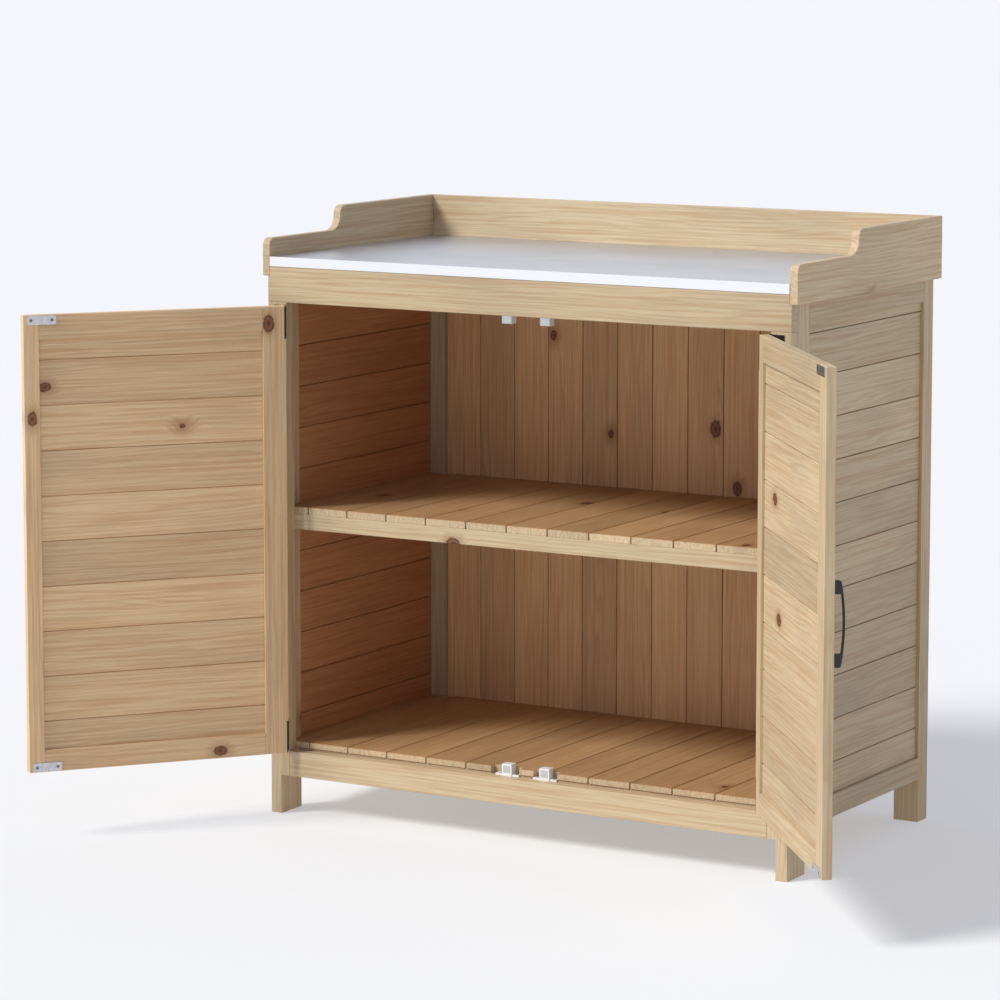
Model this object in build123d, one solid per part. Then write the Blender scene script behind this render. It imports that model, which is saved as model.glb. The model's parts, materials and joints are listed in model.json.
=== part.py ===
from build123d import *
import os

# A potting bench in softwood: a cupboard with two doors and a shelf, under a tray with a metal top.
# Millimetres. The origin is on the floor under the middle of the carcass, the front faces -Y, up is +Z.
# The doors are drawn shut, then each is turned about its hinge pins to the angle it stands open at.

# ---- overall sizes ----
CARCASS_WIDTH = 960
CARCASS_DEPTH = 514
OVERALL_HEIGHT = 1000

# ---- framing timber ----
FRONT_THICK = 21            # front posts and rails, front to back
FRONT_POST_WIDTH = 36
FOOT_WIDTH = 20             # front post below the bottom rail
FRONT_RAIL_UNDER = 65       # height of the bottom rail's underside
FRONT_BOTTOM_RAIL = 42      # rail heights
FRONT_TOP_RAIL = 59
SIDE_THICK = 20             # side frames, left to right
STILE_DEPTH = 40            # side stile behind the front post
REAR_POST_WIDTH = 44
REAR_POST_DEPTH = 35
SIDE_RAIL_UNDER = 72
SIDE_RAIL = 36
BACK_RAIL = 40
BACK_RAIL_THICK = 14
EASE = 0.8                  # chamfer on every sawn edge
SEAT = 0.3                  # gap where a piece is let in between two others

# ---- matched boards ----
BOARD_THICK = 12
BOARD_VEE = 0.8             # chamfer along a board's edges
BOARD_GAP = 1.2             # open joint between two boards, closed by the tongue
TONGUE_THICK = 4
TONGUE_IN = 5               # how far the tongue goes into the next board
TONGUE_PLAY = 0.2           # groove past the tongue, each way
SLIVER = 8                  # a last board narrower than this is not cut
SIDE_BOARD_PITCH = 68.9
SIDE_FIRST_BOARD = 50.5
SIDE_BOARD_RECESS = 6       # behind the side frame's outer face
BACK_BOARD_PITCH = 68
BACK_CORNER_GAP = 2.5       # between the outer back boards and the rear posts

# ---- slatted shelf and floor ----
SLAT_PITCH = 76
SLAT_GAP = 2
SLAT_REAR_GAP = 1
SHELF_HEIGHT = 515          # top of the slats
SHELF_SLAT_THICK = 12
SHELF_CLEAT_HIGH = 25.5
SHELF_CLEAT_WIDE = 33
SHELF_RAIL_THICK = 20
FLOOR_HEIGHT = 120
FLOOR_SLAT_THICK = 10
FLOOR_CLEAT_HIGH = 22
FLOOR_CLEAT_WIDE = 20
FLOOR_CLEAT_SETBACK = 2     # front cleat behind the rail

# ---- tray ----
TRAY_THICK = 14
TRAY_OVERHANG = 10          # past the carcass at each side and at the back
TRAY_BACK_HIGH = 102
TRAY_SIDE_LOW = 61.5        # height of the side boards at the front
TRAY_LOW_LONG = 187         # length of that low stretch
TRAY_NOSE_RADIUS = 12
OGEE_HOLLOW = 26            # radius of the hollow in the step
TRAY_CLEAT_WIDE = 40
TRAY_CLEAT_HIGH = 16
DECK_THICK = 15
SHEET_THICK = 0.8
BATTEN_THICK = 22           # behind the front top rail
BATTEN_RISE = 5             # batten's underside above the rail's

# ---- doors ----
DOOR_THICK = 16
DOOR_HINGE_GAP = 2
DOOR_CENTRE_GAP = 2
DOOR_BOTTOM_GAP = 1.5
DOOR_TOP_GAP = 3
DOOR_WIDE_STILE = 40        # both doors are the same panel, wide stile to the left from the front
DOOR_NARROW_STILE = 26
DOOR_TOP_RAIL = 40
DOOR_BOTTOM_RAIL = 36
DOOR_BOARD_THICK = 8
DOOR_BOARD_RECESS = 5       # behind the frame's inner face
DOOR_BOARD_PITCH = 73.5
DOOR_FIRST_BOARD = 47.5
DOOR_GROOVE = 6             # depth of the groove in the frame
DOOR_GROOVE_PLAY = 0.2
LEFT_OPEN = 128             # degrees at rest
RIGHT_OPEN = 129.5

# ---- hinges ----
HINGE_TALL = 53
HINGE_INSET = 1             # from the door's top and bottom
KNUCKLES = 5
KNUCKLE_GAP = 0.3
KNUCKLE_RADIUS = 2.9
PIN_RADIUS = 1.5
PIN_PLAY = 0.05
PIN_HEAD_RADIUS = 2.5
PIN_HEAD_THICK = 0.8
PIN_OVER_POST = 1.5         # pin's axis, sideways from the opening's edge
PIN_PROUD = 3               # pin's axis in front of the carcass
POST_LEAF_WIDE = 22
POST_LEAF_THICK = 1.5
DOOR_LEAF_THICK = 2
DOOR_LEAF_NOTCH = 3.5       # how deep the leaf is let into the door's edge
LEAF_RELIEF = 0.4           # around the other leaf's knuckles
LEAF_SCREW_HEIGHTS = (9, 26.5, 44)
POST_LEAF_SCREW_OUT = 13    # from the pin's axis
DOOR_LEAF_SCREW_IN = 8      # from the door's outer face

# ---- screws ----
SCREW_HEAD_RADIUS = 2.6
SCREW_HEAD_HIGH = 1.4
SCREW_SHANK_RADIUS = 1.3
SCREW_LONG = 13
SCREW_PLAY = 0.05
SLOT_WIDE = 0.6
SLOT_DEEP = 0.6

# ---- magnetic catches and their plates ----
CATCH_OUT = 35              # from the middle of the bench
CATCH_BLOCK = (18.5, 15, 19.5)
CATCH_EARS = (43, 12, 3)
CATCH_FRONT_GAP = 2         # block's front behind the shut door's inner face
CATCH_SCREWS_APART = 32
CATCH_POCKET = 0.75         # play around the catch where timber is cut away
POCKET_OVERRUN = 9          # the lower left pocket is cut this much too wide, on its left
MAGNET = (14, 10, 12)
MAGNET_TOP_INSET = 2.5
PLATE_WIDE = 48.5
PLATE_HIGH = 14.5
PLATE_THICK = 1.2
PLATE_CORNER = 4
PLATE_EDGE = 5.5            # from the door's free edge
PLATE_INSET = 1             # from the door's top or bottom
PLATE_SCREWS_APART = 34.5

# ---- handles ----
HANDLE_HEIGHT = 480         # middle of the handle above the floor
HANDLE_LONG = 127
HANDLE_WIDE = 8
HANDLE_PROUD = 18           # middle of the bow from the door
HANDLE_SHOULDER = 12        # ends of the bow from the door
HANDLE_FOOT_LONG = 20
HANDLE_BAR = 2.8
HANDLE_CORNER = 4           # rounding of the feet's outer corners
HANDLE_SOFTEN = 0.9
STUD_RADIUS = 2
STUD_IN_FOOT = 8
STUD_IN_DOOR = 13

# ---- levels and faces that follow from the sizes above ----
front_deep = max(FRONT_THICK, DOOR_THICK)        # the front frame or the doors, whichever reaches further back
side_deep = max(SIDE_THICK, SIDE_BOARD_RECESS + BOARD_THICK)        # the side frames or their boards, likewise
side_x = CARCASS_WIDTH / 2                       # outer face of the side frames
front_y = -CARCASS_DEPTH / 2
rear_y = CARCASS_DEPTH / 2
opening_x = side_x - FRONT_POST_WIDTH            # edge of the door opening
inner_x = side_x - side_deep
rear_post_x = side_x - REAR_POST_WIDTH           # inner face of the rear posts
frame_y = front_y + front_deep                   # where the pieces behind the front frame start
stile_y = frame_y + STILE_DEPTH
rear_post_y = rear_y - REAR_POST_DEPTH           # front of the rear posts
post_top = OVERALL_HEIGHT - TRAY_BACK_HIGH
deck_under = post_top + TRAY_CLEAT_HIGH
deck_top = deck_under + DECK_THICK
worktop = deck_top + SHEET_THICK
top_rail_under = deck_under - FRONT_TOP_RAIL
batten_under = top_rail_under + BATTEN_RISE
bottom_rail_top = FRONT_RAIL_UNDER + FRONT_BOTTOM_RAIL
back_board_y = rear_y - BACK_RAIL_THICK - BOARD_THICK
tray_in_x = side_x + TRAY_OVERHANG - TRAY_THICK  # inner face of the tray's sides
tray_rear_y = rear_y + TRAY_OVERHANG
tray_in_y = tray_rear_y - TRAY_THICK             # front face of the tray's back
floor_under = FLOOR_HEIGHT - FLOOR_SLAT_THICK
shelf_under = SHELF_HEIGHT - SHELF_SLAT_THICK
door_low = bottom_rail_top + DOOR_BOTTOM_GAP
door_high = top_rail_under - DOOR_TOP_GAP
door_out_x = opening_x - DOOR_HINGE_GAP          # hinge edge of a shut door
door_in_x = DOOR_CENTRE_GAP / 2                  # free edge of a shut door
door_y = front_y + DOOR_THICK                    # inner face of a shut door
handle_in = DOOR_NARROW_STILE / 2                # middle of a handle from the free edge
catch_y = door_y + CATCH_FRONT_GAP
pin_x = opening_x + PIN_OVER_POST
pin_y = front_y - PIN_PROUD
knuckle_pitch = (HINGE_TALL + KNUCKLE_GAP) / KNUCKLES
hinge_lows = (door_low + HINGE_INSET, door_high - HINGE_INSET - HINGE_TALL)
ON_FLOOR = (Align.CENTER, Align.CENTER, Align.MIN)


# ---- making helpers ----
def block(x, y, z, ease=EASE):
    """A sawn piece between three pairs of planes, with its edges eased."""
    size = [high - low for low, high in (x, y, z)]
    middle = [(low + high) / 2 for low, high in (x, y, z)]
    piece = Pos(*middle) * Box(*size)
    return chamfer(piece.edges(), ease) if ease else piece


def flipped(pieces):
    """The same pieces for the right-hand side."""
    return [mirror(piece, about=Plane.YZ) for piece in pieces]


def both_sides(piece):
    return [piece] + flipped([piece])


def facing(point, normal):
    """The place of something that stands on a face, its own +Z pointing out of the face."""
    return Plane(origin=point, z_dir=normal).location


def cut(pieces, cutters):
    """Every piece with every cutter taken out of it."""
    cleaned = []
    for piece in pieces:
        for cutter in cutters:
            piece = piece - cutter
        cleaned.append(piece)
    return cleaned


def board_edges(low, high, first, pitch):
    """Joints of boards laid side by side: one cut width, then whole boards, then what is left."""
    edges = [low, low + first]
    while edges[-1] + pitch < high - SLIVER:
        edges.append(edges[-1] + pitch)
    return edges + [high]


def matched_board(width, length, thick, groove, tongue):
    """A board standing along +Z: groove at X = 0, tongue past X = width, thickness along +Y."""
    low = (thick - TONGUE_THICK) / 2
    high = low + TONGUE_THICK
    edge = width - BOARD_GAP if tongue else width
    outline = [(BOARD_VEE, 0), (edge - BOARD_VEE, 0), (edge, BOARD_VEE)]
    if tongue:
        tip = width + TONGUE_IN
        outline += [(edge, low), (tip, low), (tip, high), (edge, high)]
    outline += [(edge, thick - BOARD_VEE), (edge - BOARD_VEE, thick)]
    outline += [(BOARD_VEE, thick), (0, thick - BOARD_VEE)]
    if groove:
        deep = TONGUE_IN + TONGUE_PLAY
        outline += [(0, high + TONGUE_PLAY), (deep, high + TONGUE_PLAY)]
        outline += [(deep, low - TONGUE_PLAY), (0, low - TONGUE_PLAY)]
    outline.append((0, BOARD_VEE))
    return extrude(make_face(Polyline(*outline, close=True)), length, dir=(0, 0, 1))


def board_wall(edges, length, thick, place):
    """Matched boards side by side; place(edge) gives the plane that a board starts on."""
    last = len(edges) - 2
    boards = []
    for number, (low, high) in enumerate(zip(edges, edges[1:])):
        board = matched_board(high - low, length, thick, groove=number > 0, tongue=number < last)
        boards.append(place(low).location * board)
    return boards


# ---- screws ----
def countersunk(extra):
    """A countersunk shape pointing down from Z = 0: a screw, or with extra its hole."""
    head = Pos(0, 0, -SCREW_HEAD_HIGH) * Cone(
        SCREW_SHANK_RADIUS + extra, SCREW_HEAD_RADIUS + extra, SCREW_HEAD_HIGH, align=ON_FLOOR)
    shank = Pos(0, 0, -SCREW_LONG - extra) * Cylinder(
        SCREW_SHANK_RADIUS + extra, SCREW_LONG + extra, align=ON_FLOOR)
    return head + shank


def screw():
    slot = Box(2 * SCREW_HEAD_RADIUS, SLOT_WIDE, 2 * SLOT_DEEP)
    return countersunk(0) - slot - Rot(0, 0, 90) * slot


def screw_hole():
    return countersunk(SCREW_PLAY)


# ---- carcass ----
def front_post():
    """Left front post, narrower from the bottom rail down to the floor."""
    post = block((-side_x, -opening_x), (front_y, frame_y), (0, top_rail_under))
    beside_foot = block((-side_x + FOOT_WIDTH, -opening_x + EASE), (front_y - EASE, frame_y + EASE),
                        (-EASE, FRONT_RAIL_UNDER), ease=0)
    return post - beside_foot


def side_frame():
    """The left side's stile, rear post and two rails, by name."""
    outer = -side_x
    long_y = (stile_y, rear_post_y)
    rail_x = (outer, outer + SIDE_THICK)
    return {
        "front_stile": block(rail_x, (frame_y, stile_y), (0, post_top)),
        "rear_post": block((outer, outer + REAR_POST_WIDTH), (rear_post_y, rear_y), (0, post_top)),
        "side_bottom_rail": block(rail_x, long_y, (SIDE_RAIL_UNDER, SIDE_RAIL_UNDER + SIDE_RAIL)),
        "side_top_rail": block(rail_x, long_y, (post_top - SIDE_RAIL, post_top)),
    }


def side_boards():
    """Horizontal matched boards between the left side's rails, set in from the outer face."""
    edges = board_edges(SIDE_RAIL_UNDER + SIDE_RAIL, post_top - SIDE_RAIL, SIDE_FIRST_BOARD, SIDE_BOARD_PITCH)
    outer = -side_x + SIDE_BOARD_RECESS
    start_y = stile_y + SEAT
    length = rear_post_y - stile_y - 2 * SEAT

    def place(edge):
        return Plane(origin=(outer, start_y, edge), x_dir=(0, 0, 1), z_dir=(0, 1, 0))

    return board_wall(edges, length, BOARD_THICK, place)


def back_boards():
    """Upright matched boards between the rear posts, inside the back rails."""
    edge_x = rear_post_x - BACK_CORNER_GAP
    edges = board_edges(-edge_x, edge_x, BACK_BOARD_PITCH, BACK_BOARD_PITCH)

    def place(edge):
        return Plane(origin=(edge, back_board_y, SIDE_RAIL_UNDER), x_dir=(1, 0, 0), z_dir=(0, 0, 1))

    return board_wall(edges, post_top - SIDE_RAIL_UNDER, BOARD_THICK, place)


def back_rail(low):
    return block((-rear_post_x, rear_post_x), (rear_y - BACK_RAIL_THICK, rear_y), (low, low + BACK_RAIL))


def front_bottom_rail():
    return block((-opening_x, opening_x), (front_y, frame_y), (FRONT_RAIL_UNDER, bottom_rail_top))


def front_top_rail():
    """Rail over both posts, cut back for the tray's sides and, low down behind, for the upper catches."""
    rail = block((-side_x, side_x), (front_y, frame_y), (top_rail_under, deck_under))
    corner = block((-side_x - EASE, -tray_in_x + SEAT), (front_y - EASE, frame_y + EASE),
                   (post_top, deck_under + EASE), ease=0)
    rebate = catch_pocket(catch_y - CATCH_POCKET, (top_rail_under - EASE, batten_under + CATCH_POCKET))
    return cut([rail], both_sides(corner) + both_sides(rebate))[0]


def top_batten():
    """Batten behind the front top rail; the upper catches hang under it."""
    batten = block((-inner_x, inner_x), (frame_y, frame_y + BATTEN_THICK), (batten_under, post_top))
    return cut([batten], catch_holes())[0]


# ---- shelf and floor ----
def slats(low, high):
    """Slats from front to back; the outer two stop at the rear posts."""
    whole = int(rear_post_x // SLAT_PITCH) + 1
    joints = [(number + 0.5) * SLAT_PITCH for number in range(-whole, whole)]
    joints = [joint for joint in joints if abs(joint) < rear_post_x - SLAT_GAP]
    edges = [-inner_x + SEAT - SLAT_GAP / 2] + joints + [inner_x - SEAT + SLAT_GAP / 2]
    boards = []
    for number, (left, right) in enumerate(zip(edges, edges[1:])):
        outer = number in (0, len(edges) - 2)
        back = rear_post_y if outer else back_board_y
        boards.append(block((left + SLAT_GAP / 2, right - SLAT_GAP / 2), (frame_y, back - SLAT_REAR_GAP),
                            (low, high)))
    return boards


def cross_cleat(half_x, start_y, thick, low, high):
    return block((-half_x, half_x), (start_y, start_y + thick), (low, high))


def side_cleats(wide, low, high):
    return both_sides(block((-inner_x, -inner_x + wide), (frame_y, rear_post_y), (low, high)))


def floor_front_cleat():
    """Cleat under the slats' front ends, with pockets that the lower catches stand in."""
    cleat = cross_cleat(inner_x - FLOOR_CLEAT_WIDE, frame_y + FLOOR_CLEAT_SETBACK, FLOOR_CLEAT_WIDE,
                        floor_under - FLOOR_CLEAT_HIGH, floor_under)
    return cut([cleat], lower_catch_pockets() + catch_holes())[0]


def floor_slats():
    return cut(slats(floor_under, FLOOR_HEIGHT), lower_catch_pockets())


# ---- tray ----
def tray_side():
    """Left side board of the tray: low and rounded at the front, stepped up by an ogee to the back's height."""
    low_z = post_top + TRAY_SIDE_LOW
    step_z = low_z + OGEE_HOLLOW
    bead = OVERALL_HEIGHT - step_z
    hollow_y = front_y + TRAY_LOW_LONG
    bead_y = hollow_y + OGEE_HOLLOW + bead
    nose_y = front_y + TRAY_NOSE_RADIUS
    nose_z = low_z - TRAY_NOSE_RADIUS
    outline = [
        Line((front_y, post_top), (tray_rear_y, post_top)),
        Line((tray_rear_y, post_top), (tray_rear_y, OVERALL_HEIGHT)),
        Line((tray_rear_y, OVERALL_HEIGHT), (bead_y, OVERALL_HEIGHT)),
        CenterArc((bead_y, step_z), bead, 90, 90),
        CenterArc((hollow_y, step_z), OGEE_HOLLOW, 270, 90),
        Line((hollow_y, low_z), (nose_y, low_z)),
        CenterArc((nose_y, nose_z), TRAY_NOSE_RADIUS, 90, 90),
        Line((front_y, nose_z), (front_y, post_top)),
    ]
    board = extrude(Plane.YZ * make_face(outline), TRAY_THICK, dir=(1, 0, 0))
    board = Pos(-tray_in_x - TRAY_THICK, 0, 0) * board
    return chamfer(board.edges(), EASE)


def tray_back():
    return block((-tray_in_x, tray_in_x), (tray_in_y, tray_rear_y), (post_top, OVERALL_HEIGHT))


def tray_side_cleats():
    return both_sides(block((-tray_in_x, -tray_in_x + TRAY_CLEAT_WIDE), (frame_y, tray_in_y - TRAY_CLEAT_WIDE),
                            (post_top, deck_under)))


def tray_rear_cleat():
    return block((-tray_in_x, tray_in_x), (tray_in_y - TRAY_CLEAT_WIDE, tray_in_y), (post_top, deck_under))


def deck_panel():
    inside = tray_in_x - SEAT
    return block((-inside, inside), (front_y, tray_in_y - SEAT), (deck_under, deck_top), ease=0)


def worktop_sheet():
    """Thin sheet over the deck, turned down over its front edge."""
    inside = tray_in_x - SEAT
    top = block((-inside, inside), (front_y - SHEET_THICK, tray_in_y - SEAT), (deck_top, worktop), ease=0)
    lip = block((-inside, inside), (front_y - SHEET_THICK, front_y), (deck_under, worktop), ease=0)
    return top + lip


# ---- magnetic catches ----
def catch_places():
    """Where the four catches are fixed, each with its own +Z away from what it is screwed to."""
    middle_y = catch_y + CATCH_BLOCK[1] / 2
    for x in (-CATCH_OUT, CATCH_OUT):
        yield Pos(x, middle_y, bottom_rail_top)
        yield Pos(x, middle_y, batten_under) * Rot(0, 180, 0)


def catch_screw_places():
    """The two screws of each catch, on top of its ears."""
    for place in catch_places():
        for x in (-CATCH_SCREWS_APART / 2, CATCH_SCREWS_APART / 2):
            yield place * Pos(x, 0, CATCH_EARS[2])


def catch_holes():
    return [place * screw_hole() for place in catch_screw_places()]


def catch_housing():
    """Moulded block with two ears, open at the front around its magnet."""
    body = Box(*CATCH_BLOCK, align=ON_FLOOR)
    body = fillet(body.edges().filter_by(Axis.Z), EASE)
    return body + Box(*CATCH_EARS, align=ON_FLOOR) - magnet()


def magnet():
    """Magnet in the front of the block; its pole faces are flush with the block's front."""
    wide, deep, high = MAGNET
    front = -CATCH_BLOCK[1] / 2
    top = CATCH_BLOCK[2] - MAGNET_TOP_INSET
    return block((-wide / 2, wide / 2), (front, front + deep), (top - high, top), ease=0)


def catch_pocket(start_y, z):
    """Room around the left catches, for the timber that is cut away to take them."""
    half_wide = CATCH_EARS[0] / 2 + CATCH_POCKET
    back_y = catch_y + CATCH_BLOCK[1] + CATCH_POCKET
    return block((-CATCH_OUT - half_wide, -CATCH_OUT + half_wide), (start_y, back_y), z, ease=0)


def lower_catch_pockets():
    """Pockets for the lower catches; the left one runs on past its catch."""
    z = (bottom_rail_top, FLOOR_HEIGHT + EASE)
    pocket = catch_pocket(front_y, z)
    return both_sides(pocket) + [Pos(-POCKET_OVERRUN, 0, 0) * pocket]


# ---- hinges, for the left side, with the pin's axis along Z at X = Y = 0 ----
def knuckle_stack(numbers, radius, spread):
    """Cylinders at the given knuckles, longer by spread at each end."""
    return [Pos(0, 0, number * knuckle_pitch - spread) *
            Cylinder(radius, knuckle_pitch - KNUCKLE_GAP + 2 * spread, align=ON_FLOOR) for number in numbers]


def hinge_leaf(plate, own, others):
    """A plate with its own knuckles, cut away around the other leaf's, and bored for the pin."""
    plate = cut([plate], knuckle_stack(others, KNUCKLE_RADIUS + LEAF_RELIEF, KNUCKLE_GAP))[0]
    for knuckle in knuckle_stack(own, KNUCKLE_RADIUS, 0):
        plate = plate + knuckle
    return plate - Cylinder(PIN_RADIUS + PIN_PLAY, HINGE_TALL, align=ON_FLOOR)


def post_leaf():
    """Leaf that lies on the front of the post."""
    plate = block((-POST_LEAF_WIDE, 0), (PIN_PROUD - POST_LEAF_THICK, PIN_PROUD), (0, HINGE_TALL), ease=0)
    leaf = hinge_leaf(plate, range(0, KNUCKLES, 2), range(1, KNUCKLES, 2))
    return cut([leaf], [place * screw_hole() for place in post_leaf_screw_places()])[0]


def post_leaf_screw_places():
    for height in LEAF_SCREW_HEIGHTS:
        yield facing((-POST_LEAF_SCREW_OUT, PIN_PROUD - POST_LEAF_THICK, height), (0, -1, 0))


def door_leaf():
    """Cranked leaf: a tab from the knuckles, then a plate let into the door's edge."""
    back_x = PIN_OVER_POST + DOOR_HINGE_GAP + DOOR_LEAF_NOTCH
    half_tab = DOOR_LEAF_THICK / 2
    tab = block((0, back_x), (-half_tab, half_tab), (0, HINGE_TALL), ease=0)
    plate = block((back_x - DOOR_LEAF_THICK, back_x), (-half_tab, PIN_PROUD + DOOR_THICK),
                  (0, HINGE_TALL), ease=0)
    leaf = hinge_leaf(tab + plate, range(1, KNUCKLES, 2), range(0, KNUCKLES, 2))
    return cut([leaf], [place * screw_hole() for place in door_leaf_screw_places()])[0]


def door_leaf_screw_places():
    face_x = PIN_OVER_POST + DOOR_HINGE_GAP + DOOR_LEAF_NOTCH - DOOR_LEAF_THICK
    for height in LEAF_SCREW_HEIGHTS:
        yield facing((face_x, PIN_PROUD + DOOR_LEAF_SCREW_IN, height), (-1, 0, 0))


def hinge_pin():
    """Pin with a head at each end, just clear of the knuckles."""
    shank = Pos(0, 0, -PIN_PLAY) * Cylinder(PIN_RADIUS, HINGE_TALL + 2 * PIN_PLAY, align=ON_FLOOR)
    head = Cylinder(PIN_HEAD_RADIUS, PIN_HEAD_THICK, align=ON_FLOOR)
    return shank + Pos(0, 0, -PIN_PLAY - PIN_HEAD_THICK) * head + Pos(0, 0, HINGE_TALL + PIN_PLAY) * head


def hinge_places():
    """The two hinges of the left door, shut."""
    return [Pos(-pin_x, pin_y, low) for low in hinge_lows]


def post_screw_places():
    return [hinge * place for hinge in hinge_places() for place in post_leaf_screw_places()]


# ---- doors, shut; the frame and boards are the left door's ----
def door_frame():
    """Stiles and rails of the left door, grooved for the boards, the rails with stub tenons."""
    left, right = -door_out_x, -door_in_x
    inner_left, inner_right = left + DOOR_WIDE_STILE, right - DOOR_NARROW_STILE
    depth = (front_y, door_y)
    groove_y = (door_y - DOOR_BOARD_RECESS - DOOR_BOARD_THICK - DOOR_GROOVE_PLAY,
                door_y - DOOR_BOARD_RECESS + DOOR_GROOVE_PLAY)
    tenon_y = (groove_y[0] + DOOR_GROOVE_PLAY, groove_y[1] - DOOR_GROOVE_PLAY)
    panel_z = (door_low + DOOR_BOTTOM_RAIL, door_high - DOOR_TOP_RAIL)
    groove = block((inner_left - DOOR_GROOVE, inner_right + DOOR_GROOVE), groove_y,
                   (panel_z[0] - DOOR_GROOVE, panel_z[1] + DOOR_GROOVE), ease=0)
    stile_groove = block((inner_left - DOOR_GROOVE, inner_right + DOOR_GROOVE), groove_y,
                         (door_low - EASE, door_high + EASE), ease=0)
    frame = {
        "left_stile": block((left, inner_left), depth, (door_low, door_high)) - stile_groove,
        "right_stile": block((inner_right, right), depth, (door_low, door_high)) - stile_groove,
    }
    tenon_x = (inner_left - DOOR_GROOVE + SEAT, inner_right + DOOR_GROOVE - SEAT)
    for name, rail_z in (("bottom_rail", (door_low, panel_z[0])), ("top_rail", (panel_z[1], door_high))):
        rail = block((inner_left, inner_right), depth, rail_z) + block(tenon_x, tenon_y, rail_z, ease=0)
        frame[name] = rail - groove
    return frame


def door_boards():
    """Horizontal matched boards, their ends and outer edges in the frame's groove."""
    left = -door_out_x + DOOR_WIDE_STILE - DOOR_GROOVE + SEAT
    right = -door_in_x - DOOR_NARROW_STILE + DOOR_GROOVE - SEAT
    reach = DOOR_GROOVE - SEAT
    edges = board_edges(door_low + DOOR_BOTTOM_RAIL, door_high - DOOR_TOP_RAIL,
                        DOOR_FIRST_BOARD, DOOR_BOARD_PITCH)
    edges = [edges[0] - reach] + edges[1:-1] + [edges[-1] + reach]

    def place(edge):
        return Plane(origin=(left, door_y - DOOR_BOARD_RECESS, edge), x_dir=(0, 0, 1), z_dir=(1, 0, 0))

    return board_wall(edges, right - left, DOOR_BOARD_THICK, place)


def door_leaf_notches():
    """Cuts in the left door's hinge edge that the leaves are let into."""
    return [block((-door_out_x - EASE, -door_out_x + DOOR_LEAF_NOTCH), (front_y - EASE, door_y + EASE),
                  (low - SEAT, low + HINGE_TALL + SEAT), ease=0) for low in hinge_lows]


def strike_middles():
    """Middles of the two strike plates on the left door's inner face, as X and Z."""
    x = -door_in_x - PLATE_EDGE - PLATE_WIDE / 2
    rise = PLATE_INSET + PLATE_HIGH / 2
    return [(x, door_low + rise), (x, door_high - rise)]


def strike_plates():
    """Steel plates at the free corners of the left door's inner face, drilled for two screws."""
    outline = RectangleRounded(PLATE_WIDE, PLATE_HIGH, PLATE_CORNER)
    plates = []
    for x, z in strike_middles():
        place = Plane(origin=(x, door_y, z), x_dir=(1, 0, 0), z_dir=(0, 1, 0)).location
        plates.append(place * extrude(outline, PLATE_THICK, dir=(0, 0, 1)))
    return cut(plates, [place * screw_hole() for place in strike_screw_places()])


def strike_screw_places():
    for x, z in strike_middles():
        for side in (-1, 1):
            yield facing((x + side * PLATE_SCREWS_APART / 2, door_y + PLATE_THICK, z), (0, 1, 0))


def handle_place():
    """Middle of the left handle on the door's outer face: +X up the door, +Y out of the face."""
    point = (-door_in_x - handle_in, front_y, HANDLE_HEIGHT)
    return Plane(origin=point, x_dir=(0, 0, 1), z_dir=(1, 0, 0)).location


def handle():
    """Bow pull: two solid feet and, between them, a bar bent in one shallow arc."""
    half = HANDLE_LONG / 2
    rise = HANDLE_PROUD - HANDLE_SHOULDER
    radius = (half ** 2 + rise ** 2) / (2 * rise)
    centre = Pos(0, HANDLE_PROUD - radius)
    solid_bow = (centre * Circle(radius)) & (Pos(0, HANDLE_PROUD / 2) * Rectangle(HANDLE_LONG, HANDLE_PROUD))
    under_bar = (centre * Circle(radius - HANDLE_BAR)) & (
        Pos(0, HANDLE_PROUD / 2) * Rectangle(HANDLE_LONG - 2 * HANDLE_FOOT_LONG, HANDLE_PROUD))
    bar = extrude(solid_bow - under_bar, HANDLE_WIDE / 2, dir=(0, 0, 1), both=True)
    shoulders = bar.edges().filter_by(Axis.Z).filter_by_position(Axis.Y, HANDLE_SHOULDER - EASE, HANDLE_PROUD)
    shoulders = shoulders.filter_by(lambda edge: abs(edge.center().X) > half - EASE)
    bar = fillet(shoulders, HANDLE_CORNER)
    bar = chamfer(bar.faces().filter_by(Axis.Z).edges(), HANDLE_SOFTEN)
    return cut([handle_place() * bar], handle_studs(SCREW_PLAY))[0]


def handle_studs(extra=0):
    """Plain studs that hold the left handle's feet to the door, or with extra their holes."""
    studs = []
    for side in (-1, 1):
        middle = HANDLE_HEIGHT + side * (HANDLE_LONG - HANDLE_FOOT_LONG) / 2
        start = facing((-door_in_x - handle_in, front_y + STUD_IN_DOOR + extra, middle), (0, -1, 0))
        length = STUD_IN_DOOR + STUD_IN_FOOT + 2 * extra
        studs.append(start * Cylinder(STUD_RADIUS + extra, length, align=ON_FLOOR))
    return studs


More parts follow.
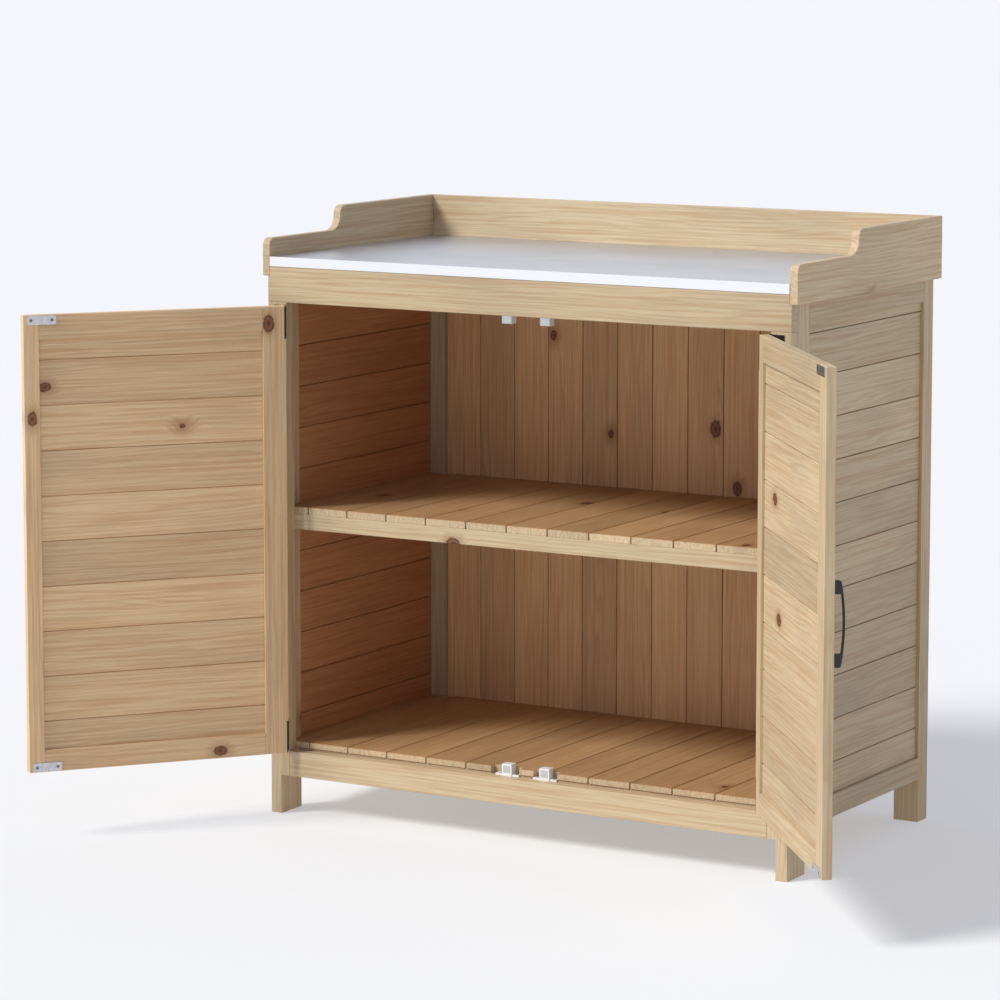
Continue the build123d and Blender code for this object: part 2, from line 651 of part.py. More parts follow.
def door(side, frame_names, to_side, open_angle):
    """All the nodes of one door, shut by the left door's sizes, put on its side and turned open."""
    leaf_screws = [hinge * place for hinge in hinge_places() for place in door_leaf_screw_places()]
    strike_screws = list(strike_screw_places())
    holes = [place * screw_hole() for place in leaf_screws + strike_screws]
    fittings = {
        "handle": [handle()],
        "handle_studs": handle_studs(),
        "hinge_leaves": [hinge * door_leaf() for hinge in hinge_places()],
        "strike_plates": strike_plates(),
        "screws": [place * screw() for place in leaf_screws + strike_screws],
    }
    cutters = holes + handle_studs(SCREW_PLAY) + door_leaf_notches()
    panel = {name: [piece] for name, piece in door_frame().items()}
    panel["boards"] = door_boards()
    if side == "right":
        fittings = {name: flipped(pieces) for name, pieces in fittings.items()}
        cutters = flipped(cutters)
        across = Pos(door_out_x + door_in_x, 0, 0)
        panel = {name: [across * piece for piece in pieces] for name, pieces in panel.items()}
    panel = {frame_names.get(name, name): pieces if name == "boards" else cut(pieces, cutters)
             for name, pieces in panel.items()}
    swing = Pos(to_side * pin_x, pin_y, 0) * Rot(0, 0, to_side * open_angle) * Pos(-to_side * pin_x, -pin_y, 0)
    return {f"{side}_door_{name}": [swing * piece for piece in pieces]
            for name, pieces in {**panel, **fittings}.items()}


# ---- every node, by name ----
nodes = {}

post = cut([front_post()], [place * screw_hole() for place in post_screw_places()])
nodes["left_front_post"] = post
nodes["right_front_post"] = flipped(post)
for name, piece in side_frame().items():
    nodes[f"left_{name}"] = [piece]
    nodes[f"right_{name}"] = flipped([piece])
nodes["left_side_boards"] = side_boards()
nodes["right_side_boards"] = flipped(side_boards())
nodes["front_top_rail"] = [front_top_rail()]
nodes["front_bottom_rail"] = [front_bottom_rail()]
nodes["top_batten"] = [top_batten()]
nodes["back_boards"] = back_boards()
nodes["back_top_rail"] = [back_rail(post_top - BACK_RAIL)]
nodes["back_bottom_rail"] = [back_rail(SIDE_RAIL_UNDER)]

shelf_cleat_z = (shelf_under - SHELF_CLEAT_HIGH, shelf_under)
shelf_rail_x = inner_x - SHELF_CLEAT_WIDE
nodes["shelf_slats"] = slats(shelf_under, SHELF_HEIGHT)
nodes["shelf_side_cleats"] = side_cleats(SHELF_CLEAT_WIDE, *shelf_cleat_z)
nodes["shelf_front_rail"] = [cross_cleat(shelf_rail_x, frame_y, SHELF_RAIL_THICK, *shelf_cleat_z)]
nodes["shelf_rear_rail"] = [
    cross_cleat(shelf_rail_x, rear_post_y - SHELF_RAIL_THICK, SHELF_RAIL_THICK, *shelf_cleat_z)]

floor_cleat_z = (floor_under - FLOOR_CLEAT_HIGH, floor_under)
floor_rail_x = inner_x - FLOOR_CLEAT_WIDE
nodes["floor_slats"] = floor_slats()
nodes["floor_side_cleats"] = side_cleats(FLOOR_CLEAT_WIDE, *floor_cleat_z)
nodes["floor_front_cleat"] = [floor_front_cleat()]
nodes["floor_rear_cleat"] = [
    cross_cleat(floor_rail_x, rear_post_y - FLOOR_CLEAT_WIDE, FLOOR_CLEAT_WIDE, *floor_cleat_z)]

nodes["left_tray_side"] = [tray_side()]
nodes["right_tray_side"] = flipped([tray_side()])
nodes["tray_back"] = [tray_back()]
nodes["tray_side_cleats"] = tray_side_cleats()
nodes["tray_rear_cleat"] = [tray_rear_cleat()]
nodes["deck_panel"] = [deck_panel()]
nodes["worktop_sheet"] = [worktop_sheet()]

nodes["catch_housings"] = cut([place * catch_housing() for place in catch_places()], catch_holes())
nodes["catch_magnets"] = [place * magnet() for place in catch_places()]
nodes["catch_screws"] = [place * screw() for place in catch_screw_places()]

leaves = [place * post_leaf() for place in hinge_places()]
pins = [place * hinge_pin() for place in hinge_places()]
post_screws = [place * screw() for place in post_screw_places()]
nodes["post_hinge_leaves"] = leaves + flipped(leaves)
nodes["hinge_pins"] = pins + flipped(pins)
nodes["post_hinge_screws"] = post_screws + flipped(post_screws)

left_names = {"left_stile": "hinge_stile", "right_stile": "lock_stile"}
right_names = {"left_stile": "lock_stile", "right_stile": "hinge_stile"}
nodes.update(door("left", left_names, -1, LEFT_OPEN))
nodes.update(door("right", right_names, 1, RIGHT_OPEN))

os.makedirs("parts", exist_ok=True)
for name, pieces in nodes.items():
    solids = [solid for piece in pieces for solid in piece.solids()]
    export_step(Compound(solids), f"parts/{name}.step")
print(len(nodes), "nodes")
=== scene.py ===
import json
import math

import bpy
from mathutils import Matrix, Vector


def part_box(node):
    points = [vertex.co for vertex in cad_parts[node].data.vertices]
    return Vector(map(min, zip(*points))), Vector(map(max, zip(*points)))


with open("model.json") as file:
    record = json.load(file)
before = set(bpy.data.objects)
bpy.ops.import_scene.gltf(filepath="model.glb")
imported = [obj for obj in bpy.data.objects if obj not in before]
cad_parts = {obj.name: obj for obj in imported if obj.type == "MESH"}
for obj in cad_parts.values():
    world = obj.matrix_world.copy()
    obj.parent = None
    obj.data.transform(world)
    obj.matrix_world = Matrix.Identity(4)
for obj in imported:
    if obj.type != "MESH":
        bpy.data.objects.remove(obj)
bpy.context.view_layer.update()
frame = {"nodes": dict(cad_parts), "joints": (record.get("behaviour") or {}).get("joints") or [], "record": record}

# %% [markdown]
# # A potting bench in knotty fir
# The bench comes in as a finished CAD model: every board, rail, hinge leaf and screw is already there, at
# its real size. Nothing soft hangs on it, so this lesson is about finishes: how sawn fir looks along and
# across its grain, how a zinc-coated sheet differs from painted steel, and how soft light shows it all.

MM = 0.001
FACING = 0.5                  # a face looks along an axis when this much of its normal does

# %% [markdown]
# ## Small helpers
# Colours are chosen and written as sRGB hex values, but shaders work in linear light, so one function turns them
# over. A second one adds a shader node, gives it its settings and plugs in its inputs. Two more start a material
# and make a colour ramp. Writing every material with them keeps the recipes short.

# %% Colour and node helpers
def linear(code):
    """An sRGB hex colour as the opaque linear colour that a shader wants."""
    parts = [int(code[start:start + 2], 16) / 255 for start in (1, 3, 5)]
    red, green, blue = (part / 12.92 if part <= 0.04045 else ((part + 0.055) / 1.055) ** 2.4
                        for part in parts)
    return red, green, blue, 1.0


def add(tree, kind, inputs=None, **settings):
    """Adds a shader node with its settings; an input is a value to set or a socket to link."""
    made = tree.nodes.new("ShaderNode" + kind)
    for name, value in settings.items():
        setattr(made, name, value)
    for name, value in (inputs or {}).items():
        if isinstance(value, bpy.types.NodeSocket):
            tree.links.new(value, made.inputs[name])
        else:
            made.inputs[name].default_value = value
    return made


def new_material(name):
    """An empty material with an output, and its Principled shader."""
    material = bpy.data.materials.new(name)
    material.use_nodes = True
    tree = material.node_tree
    tree.nodes.clear()
    shader = add(tree, "BsdfPrincipled")
    add(tree, "OutputMaterial", {"Surface": shader.outputs["BSDF"]})
    return material, tree, shader


def ramp(tree, factor, stops):
    """A colour ramp through (place, hex colour) stops."""
    made = add(tree, "ValToRGB", {"Fac": factor})
    marks = made.color_ramp.elements
    while len(marks) < len(stops):
        marks.new(0.5)
    for mark, (place, code) in zip(marks, stops):
        mark.position = place
        mark.color = linear(code)
    return made.outputs["Color"]


print("white is", linear("#ffffff"))

# %% [markdown]
# ## Fir, sawn and planed
# Fir is pale wood with darker latewood lines. A board sawn near the middle of the log shows them almost
# straight; further out they run together into long arches. Both come from one idea: the growth rings are
# level lines of a slow noise that is stretched along the grain. Knots are where a branch left the trunk:
# round, dark, and the rings flow around them. The whole figure is one node group that reads a position in
# board space, X along the grain, Y across the board, Z into it, so it can be laid along any board.

# %% Sizes of the figure, in metres
RING_WIDTH = 7 * MM           # spacing of the latewood lines on a face
WAVE_LONG = 700 * MM          # how slowly the lines wander along the grain
WAVE_WIDE = 60 * MM
WANDER = 5.0                  # how many rings the wander takes in
FIBRE_WIDE = 0.9 * MM         # bundles of fibres: single ones are far too fine to show
FIBRE_LONG = 60 * MM
STREAK_WIDE = 5 * MM
STREAK_LONG = 220 * MM
KNOT_EVERY = (460 * MM, 120 * MM)    # one possible knot for each such patch, along and across
KNOT_SHARE = 0.72             # patches whose random number is under this have no knot
KNOT_RADIUS = 8 * MM
KNOT_REACH = 24 * MM          # how far the rings bend around a knot
KNOT_STRETCH = 1.5            # knots are longer along the grain
KNOT_PUSH = 2.2               # how many rings a knot pushes aside
KNOT_SMALLEST = 0.35 * KNOT_RADIUS
RAGGED_LONG = 9 * MM          # bumps in a knot's edge, along and across, and how far they reach
RAGGED_WIDE = 5 * MM
RAGGED_BY = 4 * MM
NOISE_MIDDLE = 0.5            # the mean of a noise, which is taken off where it has to go both ways
RIPPLE_LONG = 90 * MM         # small waves in the rings
RIPPLE_WIDE = 14 * MM
RIPPLE = 0.9                  # how many rings they take in
CLOUD_LONG = 260 * MM         # patches where the latewood is plain, and greyer ones
CLOUD_WIDE = 80 * MM

# %% How strongly each part of the figure shows
LATE_STARTS = 0.35            # where in a ring the latewood starts, and where it is darkest
LATE_PEAKS = 0.92
LATE_STRENGTH = (0.08, 0.42)  # how much the latewood colour shows, from faint patches to plain ones
WARM_STRENGTH = 0.6           # the same for the warm streaks
GREY_STRENGTH = 0.55          # the grey patches
HALO_STRENGTH = 0.55          # and the stain around a knot
FIBRE_TONES = (0.88, 1.08)    # brightness of the bundles of fibres
BOARD_TONES = (0.86, 1.07)    # brightness of whole boards

FIR_PALE = "#cdb893"
FIR_LATE = "#a37a50"
FIR_WARM = "#b68f64"
FIR_GREY = "#b5a182"
KNOT_HEART = "#3f2614"
KNOT_RIM = "#82552f"


# %% Fir figure as a node group
def maths(tree, operation, first, second=0.0):
    return add(tree, "Math", {0: first, 1: second}, operation=operation).outputs[0]


def mix(tree, factor, first, second):
    made = add(tree, "Mix", {0: factor, 6: first, 7: second}, data_type="RGBA")
    return made.outputs[2]


def fir_figure():
    """Group from a board-space position and a board's own random tone to a colour and a height."""
    group = bpy.data.node_groups.new("fir_figure", "ShaderNodeTree")
    group.interface.new_socket("Position", in_out="INPUT", socket_type="NodeSocketVector")
    group.interface.new_socket("Tone", in_out="INPUT", socket_type="NodeSocketFloat")
    group.interface.new_socket("Color", in_out="OUTPUT", socket_type="NodeSocketColor")
    group.interface.new_socket("Height", in_out="OUTPUT", socket_type="NodeSocketFloat")
    given = group.nodes.new("NodeGroupInput")
    position = given.outputs["Position"]

    def stretched(long, wide, detail, rough=0.5):
        """Noise whose features are long along the grain and wide across it."""
        per_feature = (1 / long, 1 / wide, 1 / wide)
        scaled = add(group, "VectorMath", {0: position, 1: per_feature}, operation="MULTIPLY")
        noise = add(group, "TexNoise", {"Vector": scaled.outputs[0], "Scale": 1.0, "Detail": detail,
                                        "Roughness": rough})
        return noise.outputs["Fac"]

    # knots: one point in each patch, kept only where its random number is high
    patch = (1 / KNOT_EVERY[0], 1 / KNOT_EVERY[1], 0.0)
    in_patches = add(group, "VectorMath", {0: position, 1: patch}, operation="MULTIPLY").outputs[0]
    cells = add(group, "TexVoronoi", {"Vector": in_patches, "Scale": 1.0, "Randomness": 0.9},
                voronoi_dimensions="2D")
    away = add(group, "VectorMath", {0: in_patches, 1: cells.outputs["Position"]},
               operation="SUBTRACT").outputs[0]
    true_size = (KNOT_EVERY[0] / KNOT_STRETCH, KNOT_EVERY[1], 0.0)
    away = add(group, "VectorMath", {0: away, 1: true_size}, operation="MULTIPLY").outputs[0]
    distance = add(group, "VectorMath", {0: away}, operation="LENGTH").outputs["Value"]
    bumps = maths(group, "SUBTRACT", stretched(RAGGED_LONG, RAGGED_WIDE, 2.0), NOISE_MIDDLE)
    ragged = maths(group, "MULTIPLY", bumps, RAGGED_BY)
    distance = maths(group, "ADD", distance, ragged)
    chance = add(group, "SeparateColor", {0: cells.outputs["Color"]})
    present = maths(group, "GREATER_THAN", chance.outputs[0], KNOT_SHARE)
    size = maths(group, "MULTIPLY_ADD", chance.outputs[1], KNOT_RADIUS)
    size.node.inputs[2].default_value = KNOT_SMALLEST
    near = maths(group, "DIVIDE", distance, size)
    inside = add(group, "MapRange", {"Value": near, "From Min": 1.15, "From Max": 0.75},
                 interpolation_type="SMOOTHSTEP").outputs[0]
    inside = maths(group, "MULTIPLY", inside, present)
    halo = add(group, "MapRange", {"Value": distance, "From Min": KNOT_REACH, "From Max": 0.0},
               interpolation_type="SMOOTHSTEP").outputs[0]
    halo = maths(group, "MULTIPLY", halo, present)

    # rings: level lines of the wandering noise, pushed aside by the knots
    across = add(group, "SeparateXYZ", {0: position}).outputs["Y"]
    rings = maths(group, "DIVIDE", across, RING_WIDTH)
    wander = maths(group, "MULTIPLY", stretched(WAVE_LONG, WAVE_WIDE, 2.0), 2 * WANDER)
    rings = maths(group, "ADD", rings, wander)
    rings = maths(group, "ADD", rings, maths(group, "MULTIPLY", halo, KNOT_PUSH))
    ripple = maths(group, "MULTIPLY", stretched(RIPPLE_LONG, RIPPLE_WIDE, 2.0), RIPPLE)
    rings = maths(group, "ADD", rings, ripple)
    phase = maths(group, "FRACT", rings)
    late = add(group, "MapRange", {"Value": phase, "From Min": LATE_STARTS, "From Max": LATE_PEAKS},
               interpolation_type="SMOOTHSTEP").outputs[0]
    fall = add(group, "MapRange", {"Value": phase, "From Min": 1.0, "From Max": LATE_PEAKS}).outputs[0]
    late = maths(group, "MULTIPLY", late, fall)

    streaks = stretched(STREAK_LONG, STREAK_WIDE, 3.0, 0.6)
    fibres = stretched(FIBRE_LONG, FIBRE_WIDE, 3.0, 0.7)
    clouds = stretched(CLOUD_LONG, CLOUD_WIDE, 2.0)
    strength = add(group, "MapRange", {"Value": clouds, "From Min": 0.35, "From Max": 0.65,
                                       "To Min": LATE_STRENGTH[0], "To Max": LATE_STRENGTH[1]}).outputs[0]
    late = maths(group, "MULTIPLY", late, strength)

    colour = mix(group, late, linear(FIR_PALE), linear(FIR_LATE))
    warm = add(group, "MapRange", {"Value": streaks, "From Min": 0.44, "From Max": 0.66,
                                   "To Max": WARM_STRENGTH}).outputs[0]
    colour = mix(group, warm, colour, linear(FIR_WARM))
    grey = add(group, "MapRange", {"Value": clouds, "From Min": 0.5, "From Max": 0.75,
                                   "To Max": GREY_STRENGTH}).outputs[0]
    colour = mix(group, grey, colour, linear(FIR_GREY))
    colour = mix(group, maths(group, "MULTIPLY", halo, HALO_STRENGTH), colour, linear(KNOT_RIM))
    heart = ramp(group, near, [(0.0, KNOT_HEART), (0.55, KNOT_RIM), (0.8, KNOT_HEART), (1.0, KNOT_RIM)])
    colour = mix(group, inside, colour, heart)

    # the fibres and the board's own tone make it lighter or darker
    light = add(group, "MapRange", {"Value": fibres, "From Min": 0.3, "From Max": 0.7,
                                    "To Min": FIBRE_TONES[0], "To Max": FIBRE_TONES[1]}).outputs[0]
    tone = add(group, "MapRange", {"Value": given.outputs["Tone"],
                                   "To Min": BOARD_TONES[0], "To Max": BOARD_TONES[1]}).outputs[0]
    light = maths(group, "MULTIPLY", light, tone)
    colour = add(group, "VectorMath", {0: colour, "Scale": light}, operation="SCALE").outputs[0]

    height = maths(group, "ADD", maths(group, "MULTIPLY", fibres, 0.5), maths(group, "MULTIPLY", late, 0.5))
    result = group.nodes.new("NodeGroupOutput")
    group.links.new(colour, result.inputs["Color"])
    group.links.new(height, result.inputs["Height"])
    return group


FIR = fir_figure()
print("fir figure has", len(FIR.nodes), "nodes")

# %% [markdown]
# ## One fir material for each way a board lies
# A wall of boards is one CAD node, but no two real boards match. So the material counts boards from the
# position across them, and gives each its own random tone and its own place in the figure. The doors stand
# open: a Mapping node turns their positions back to where they are when shut, so their grain runs square.

# %% Board space
def shut_again(joint):
    """The turn about a door's hinge that takes it from rest to shut, as a rotation and a move."""
    pin = Vector(joint["pos_m"])
    shut = math.radians(joint["range_deg"][0]) * joint["axis"][2]
    turn = Matrix.Rotation(shut, 3, "Z")
    return shut, pin - turn @ pin


SPREAD = 40.0                 # how far apart in the figure two boards can lie, in metres
WHOLE = 10.0                  # a pitch longer than any piece, so that a single stick is one board
JOINTS = {joint["child"]: joint for joint in frame["joints"]}
print("door joints:", {name: joint["range_deg"] for name, joint in JOINTS.items()})


def fir(name, body, grain, across, pitch=WHOLE, start=-WHOLE / 2, seed=0.0, tint=None, inward=None):
    """Fir with its grain along one axis and boards counted along another, every pitch from start.

    The tint, a colour and a gain, is only on the faces that look inward if that axis and sign are given."""
    material, tree, shader = new_material(name)
    where = add(tree, "TexCoord").outputs["Object"]
    if body in JOINTS:
        angle, move = shut_again(JOINTS[body])
        turned = add(tree, "Mapping", {"Vector": where, "Location": move, "Rotation": (0, 0, angle)})
        where = turned.outputs[0]
    axes = add(tree, "SeparateXYZ", {0: where}).outputs
    depth = ({"X", "Y", "Z"} - {grain, across}).pop()
    number = maths(tree, "FLOOR", maths(tree, "DIVIDE", maths(tree, "SUBTRACT", axes[across], start), pitch))
    random = add(tree, "TexWhiteNoise", {"W": maths(tree, "ADD", number, seed)}, noise_dimensions="1D")
    shift = add(tree, "VectorMath", {0: random.outputs["Color"], "Scale": SPREAD},
                operation="SCALE").outputs[0]
    place = add(tree, "CombineXYZ", {"X": axes[grain], "Y": axes[across], "Z": axes[depth]}).outputs[0]
    place = add(tree, "VectorMath", {0: place, 1: shift}, operation="ADD").outputs[0]
    figure = add(tree, "Group", {}, node_tree=FIR)
    tree.links.new(place, figure.inputs["Position"])
    tree.links.new(random.outputs["Value"], figure.inputs["Tone"])
    colour = figure.outputs["Color"]
    # a tint here is mostly painted light or shade: wood made brighter or darker where light or shade falls on it
    if tint:
        code, gain = tint
        factor = tuple(gain * part for part in linear(code)[:3])
        tinted = add(tree, "VectorMath", {0: colour, 1: factor}, operation="MULTIPLY").outputs[0]
        share = 1.0
        if inward:
            axis, sign = inward
            normal = add(tree, "SeparateXYZ", {0: add(tree, "TexCoord").outputs["Normal"]}).outputs[axis]
            share = maths(tree, "GREATER_THAN", maths(tree, "MULTIPLY", normal, sign), FACING)
        colour = mix(tree, share, colour, tinted)
    tree.links.new(colour, shader.inputs["Base Color"])
    bump = add(tree, "Bump", {"Height": figure.outputs["Height"], "Strength": 0.12, "Distance": 0.5 * MM})
    tree.links.new(bump.outputs["Normal"], shader.inputs["Normal"])
    shader.inputs["Roughness"].default_value = 0.58
    shader.inputs["IOR"].default_value = 1.5
    return material


# %% [markdown]
# ## Metals and plastic
# The worktop is hot-dip galvanised sheet: zinc, satin, a little blue, with a faint drawn texture from the
# rolling mill. The hinges and handles are steel with a black powder coat, which is a plastic skin, so it is
# not metallic and has the fine dimples of the powder. Strike plates are bright zinc plate and their screws a
# darker one. The catch housings are moulded white nylon.

# %% Metal and plastic materials
SPECKLE = 0.6 * MM            # grain of a powder coat
ROLL_LONG = 120 * MM          # marks of the rolling mill along the sheet
ROLL_WIDE = 1.5 * MM
LIP_PAINTED_HIGHLIGHT = "#f4f6f7"          # painted highlight: the faces that look to the front, such as the edge turned down in front, are made paler than the flat, for the light they catch


def galvanised_sheet():
    """Satin zinc: full metal, rolled along X."""
    material, tree, shader = new_material("galvanised_sheet")
    where = add(tree, "TexCoord").outputs["Object"]
    rolled = add(tree, "Mapping", {"Vector": where, "Scale": (1 / ROLL_LONG, 1 / ROLL_WIDE, 1 / ROLL_WIDE)})
    marks = add(tree, "TexNoise", {"Vector": rolled.outputs[0], "Scale": 1.0, "Detail": 4.0}).outputs["Fac"]
    cloud = add(tree, "TexNoise", {"Vector": where, "Scale": 9.0, "Detail": 3.0}).outputs["Fac"]
    tint = ramp(tree, cloud, [(0.3, "#bfc3cc"), (0.7, "#cbced6")])
    # painted highlight: faces of the sheet that look to the front are mixed to a near-white colour
    facing = add(tree, "SeparateXYZ", {0: add(tree, "TexCoord").outputs["Normal"]}).outputs["Y"]
    front_faces_painted_highlight = maths(tree, "LESS_THAN", facing, -FACING)
    tint = mix(tree, front_faces_painted_highlight, tint, linear(LIP_PAINTED_HIGHLIGHT))
    tree.links.new(tint, shader.inputs["Base Color"])
    rough = add(tree, "MapRange", {"Value": marks, "To Min": 0.3, "To Max": 0.44}).outputs[0]
    tree.links.new(rough, shader.inputs["Roughness"])
    shader.inputs["Metallic"].default_value = 1.0
    bump = add(tree, "Bump", {"Height": marks, "Strength": 0.04, "Distance": 0.2 * MM})
    tree.links.new(bump.outputs["Normal"], shader.inputs["Normal"])
    return material


def zinc_plate(name, dark, light):
    """Zinc on small steel fittings, mottled between two tones."""
    material, tree, shader = new_material(name)
    where = add(tree, "TexCoord").outputs["Object"]
    cloud = add(tree, "TexNoise", {"Vector": where, "Scale": 1 / (4 * MM), "Detail": 3.0}).outputs["Fac"]
    tint = ramp(tree, cloud, [(0.3, dark), (0.7, light)])
    tree.links.new(tint, shader.inputs["Base Color"])
    rough = add(tree, "MapRange", {"Value": cloud, "To Min": 0.28, "To Max": 0.42}).outputs[0]
    tree.links.new(rough, shader.inputs["Roughness"])
    shader.inputs["Metallic"].default_value = 1.0
    return material


def powder_coat():
    """Black powder coat: a dielectric skin with the dimples of the melted powder."""
    material, tree, shader = new_material("black_powder_coat")
    where = add(tree, "TexCoord").outputs["Object"]
    grain = add(tree, "TexNoise", {"Vector": where, "Scale": 1 / SPECKLE, "Detail": 2.0}).outputs["Fac"]
    tint = ramp(tree, grain, [(0.35, "#141517"), (0.65, "#1f2124")])
    tree.links.new(tint, shader.inputs["Base Color"])
    shader.inputs["Roughness"].default_value = 0.38
    shader.inputs["IOR"].default_value = 1.5
    bump = add(tree, "Bump", {"Height": grain, "Strength": 0.15, "Distance": 0.05 * MM})
    tree.links.new(bump.outputs["Normal"], shader.inputs["Normal"])
    return material


def white_nylon():
    """Moulded white nylon, with the faint mottle of its mould."""
    material, tree, shader = new_material("white_nylon")
    where = add(tree, "TexCoord").outputs["Object"]
    mottle = add(tree, "TexNoise", {"Vector": where, "Scale": 1 / (3 * MM), "Detail": 2.0}).outputs["Fac"]
    tint = ramp(tree, mottle, [(0.3, "#e4e4e0"), (0.7, "#efefec")])
    tree.links.new(tint, shader.inputs["Base Color"])
    shader.inputs["Roughness"].default_value = 0.32
    shader.inputs["IOR"].default_value = 1.53
    return material


def magnet_steel():
    """Bright nickel plate on the catch magnets, with fine grinding marks under it."""
    material, tree, shader = new_material("magnet_steel")
    where = add(tree, "TexCoord").outputs["Object"]
    ground = add(tree, "Mapping", {"Vector": where, "Scale": (1 / (6 * MM), 1 / MM, 1 / (0.5 * MM))})
    marks = add(tree, "TexNoise", {"Vector": ground.outputs[0], "Scale": 1.0, "Detail": 3.0}).outputs["Fac"]
    tint = ramp(tree, marks, [(0.3, "#c6c7c9"), (0.7, "#dcddde")])
    tree.links.new(tint, shader.inputs["Base Color"])
    shader.inputs["Metallic"].default_value = 1.0
    shader.inputs["Roughness"].default_value = 0.35
    return material


FINISHES = {
    "galvanised_sheet": galvanised_sheet(),
    "zinc_steel": zinc_plate("zinc_plate", "#b4b6b9", "#cfd0d2"),
    "black_steel": powder_coat(),
    "white_plastic": white_nylon(),
    "magnet_steel": magnet_steel(),
}
SCREW_ZINC = zinc_plate("screw_zinc", "#66686b", "#7d7f82")
print("finishes:", sorted(FINISHES))

# %% [markdown]
# ## Laying the finishes on
# The record says which slot each node takes. Metal and plastic nodes take their finish straight from it,
# except that the screws are a darker zinc than the strike plates. A wooden node needs to know how its boards
# lie: walls and slats are listed here with their pitch, and every other node is treated as one stick whose
# grain runs along the longest side of its box.

# %% How the boards lie
SIDE_PITCH = 68.9 * MM
BACK_PITCH = 68 * MM
SLAT_PITCH = 76 * MM
DOOR_PITCH = 73.5 * MM
DOOR_FIRST = 192 * MM         # first joint of the door boards above the floor
SIDE_FIRST = 158.5 * MM
BACK_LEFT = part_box("back_boards")[0].x

WALLS = {
    "left_side_boards": ("Y", "Z", SIDE_PITCH, SIDE_FIRST),
    "right_side_boards": ("Y", "Z", SIDE_PITCH, SIDE_FIRST),
    "back_boards": ("Z", "X", BACK_PITCH, BACK_LEFT),
    "shelf_slats": ("Y", "X", SLAT_PITCH, SLAT_PITCH / 2),
    "floor_slats": ("Y", "X", SLAT_PITCH, SLAT_PITCH / 2),
    "left_door_boards": ("X", "Z", DOOR_PITCH, DOOR_FIRST),
    "right_door_boards": ("X", "Z", DOOR_PITCH, DOOR_FIRST),
}
SEED_STEP = 31.7              # keeps the random numbers of different pieces apart
DOOR_STICKS = {"stile": ("Z", "X"), "rail": ("X", "Z")}

# A tint is a colour and a gain that multiply the wood's own. Inside the cupboard the tints are painted light and
# shade, only on the faces that look into it: the walls and slats are made darker and redder as painted shade, and
# the back is made brighter as painted light. The left door's is painted light: it brightens the door for the half
# shade it stands in at rest, so when both doors are shut it looks paler than the right one.
# painted shade on the inside walls and slats, painted light on the inside of the back
INSIDE_WALL_PAINTED_SHADE = ("#e4b7a0", 1.0)
INSIDE_BACK_PAINTED_LIGHT = ("#ffebdb", 1.3)
INSIDE_SLATS_PAINTED_SHADE = ("#e6cdb4", 1.0)
# painted light: a gain that brightens the left door for the half shade it stands in at rest
LEFT_DOOR_PAINTED_LIGHT = ("#fff5ec", 1.28)
INWARD_PAINTED_LIGHT_AND_SHADE = {
    "left_side_boards": (INSIDE_WALL_PAINTED_SHADE, ("X", 1)),
    "right_side_boards": (INSIDE_WALL_PAINTED_SHADE, ("X", -1)),
    "back_boards": (INSIDE_BACK_PAINTED_LIGHT, ("Y", -1)),
    "shelf_slats": (INSIDE_SLATS_PAINTED_SHADE, ("Z", 1)),
    "floor_slats": (INSIDE_SLATS_PAINTED_SHADE, ("Z", 1)),
}
# painted shade: the front top rail's lower gain darkens it for the shade under the worktop above; the tray back's
# higher gain makes that board brighter
TINTS = {"tray_back": ("#ffffff", 1.12), "front_top_rail": ("#ffffff", 0.84)}
TINTS.update({node: LEFT_DOOR_PAINTED_LIGHT for node in frame["record"]["behaviour"]["bodies"]["left_door"]})


def stick_axes(name, body):
    """Grain along a stick's longest side, and the next longest across it."""
    if body in JOINTS:
        return DOOR_STICKS[name.rsplit("_", 1)[1]]
    low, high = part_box(name)
    sides = sorted("XYZ", key=lambda axis: getattr(high, axis.lower()) - getattr(low, axis.lower()))
    return sides[2], sides[1]


# %% Give every node its finish
body_of = {node: body for body, nodes in frame["record"]["behaviour"]["bodies"].items() for node in nodes}
slot_of = {part["node"]: part["material_slot"] for part in frame["record"]["subparts"]}

for seed, (name, node) in enumerate(sorted(frame["nodes"].items())):
    if slot_of[name] == "softwood":
        lie = WALLS.get(name) or stick_axes(name, body_of[name])
        # inside the cupboard the tint is painted light and shade, on the faces that look into it
        tint, inward = INWARD_PAINTED_LIGHT_AND_SHADE.get(name, (TINTS.get(name), None))
        finish = fir("fir_" + name, body_of[name], *lie, seed=SEED_STEP * seed, tint=tint, inward=inward)
    elif slot_of[name] == "zinc_steel" and name.endswith("screws"):
        finish = SCREW_ZINC
    else:
        finish = FINISHES[slot_of[name]]
    node.data.materials.clear()
    node.data.materials.append(finish)
print(len(bpy.data.materials), "materials")

# %% [markdown]
# ## Floor, light and camera
# The bench stands in a white studio with no visible horizon. A sun lamp lights the whole floor evenly, so the
# floor can be given a colour that comes close to the backdrop's when both lights fall on it. Over a third of
# the floor's brightness is a glow of its own, as on a light table, so the shadows on it stay pale. A wide sun
# angle keeps the shadows soft. The backdrop is bright for the eye and for reflections in metal, but weaker
# and bluer as a light on matt surfaces, so that the shaded sides and the inside of the cupboard stay dark.
# The Standard view shows these light values as they are: the default view brings every white down to grey.

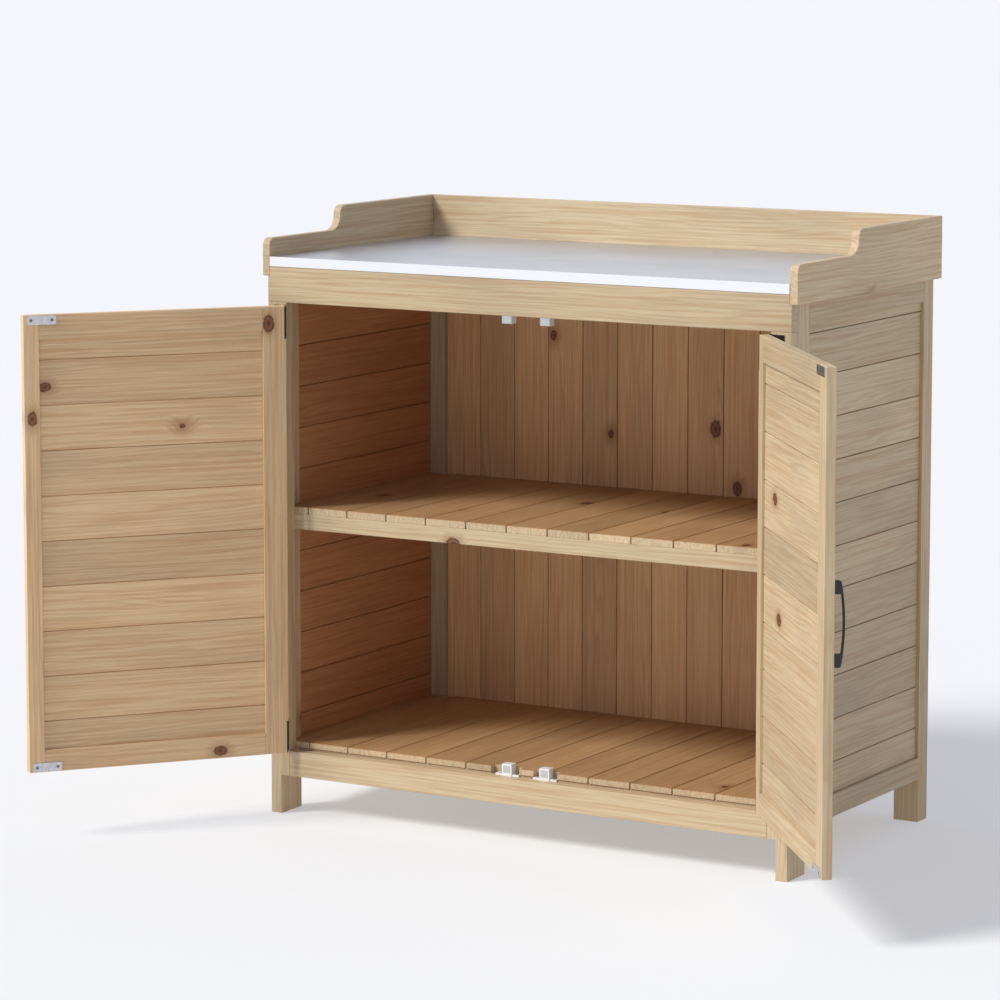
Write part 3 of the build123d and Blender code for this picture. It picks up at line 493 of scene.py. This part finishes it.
# %% Light values
BACKDROP = "#f4f6fb"
FILL_COLOUR = "#e4e9ff"
FILL = 0.485                  # strength of that colour as the backdrop's light on matt surfaces
SUN_FROM = Vector((-2.8, -3.8, 4.3)).normalized()
SUN_STRENGTH = 2.95
SUN_ANGLE = 20                # degrees across; a real sun is half a degree
PAPER_GLOW = 0.38             # share of the floor's brightness that is its own, which keeps shadows pale
FLOOR_SIZE = 60.0

# %% Backdrop and sun
bpy.context.scene.view_settings.view_transform = "Standard"
world = bpy.data.worlds.new("studio")
bpy.context.scene.world = world
world.use_nodes = True
sky = world.node_tree
rays = add(sky, "LightPath")
fill = [FILL * part for part in linear(FILL_COLOUR)[:3]]
shown = mix(sky, rays.outputs["Is Diffuse Ray"], linear(BACKDROP), (*fill, 1.0))
sky.links.new(shown, sky.nodes["Background"].inputs["Color"])

sun_data = bpy.data.lights.new("sun", "SUN")
sun_data.energy = SUN_STRENGTH
sun_data.angle = math.radians(SUN_ANGLE)
sun = bpy.data.objects.new("sun", sun_data)
sun.rotation_euler = (-SUN_FROM).to_track_quat("-Z", "Y").to_euler()
bpy.context.collection.objects.link(sun)
print("sun from", tuple(round(part, 2) for part in SUN_FROM))

# %% Floor that matches the backdrop under both lights
bpy.ops.mesh.primitive_plane_add(size=FLOOR_SIZE, location=(0, 0, 0))
floor = bpy.context.object
floor.name = "studio_floor"
material, tree, shader = new_material("studio_paper")
from_sun = SUN_STRENGTH * SUN_FROM.z / math.pi
paper = [(1 - PAPER_GLOW) * part / (share + from_sun) for part, share in zip(linear(BACKDROP), fill)]
shader.inputs["Base Color"].default_value = (*paper, 1.0)
shader.inputs["Roughness"].default_value = 1.0
shader.inputs["Specular IOR Level"].default_value = 0.0
shader.inputs["Emission Color"].default_value = linear(BACKDROP)
shader.inputs["Emission Strength"].default_value = PAPER_GLOW
floor.data.materials.append(material)
print("floor", FLOOR_SIZE, "m, paper", [round(part, 3) for part in paper])

# %% Camera
LENS = 144.19
camera_data = bpy.data.cameras.new("camera")
camera_data.lens = LENS
camera_data.sensor_width = 36
camera_data.shift_y = -0.1
camera = bpy.data.objects.new("camera", camera_data)
camera.location = (3.195, -5.695, 1.497)
camera.rotation_euler = (math.radians(82.998), 0, math.radians(30.722))
bpy.context.collection.objects.link(camera)
bpy.context.scene.camera = camera
print("camera", tuple(camera.location))
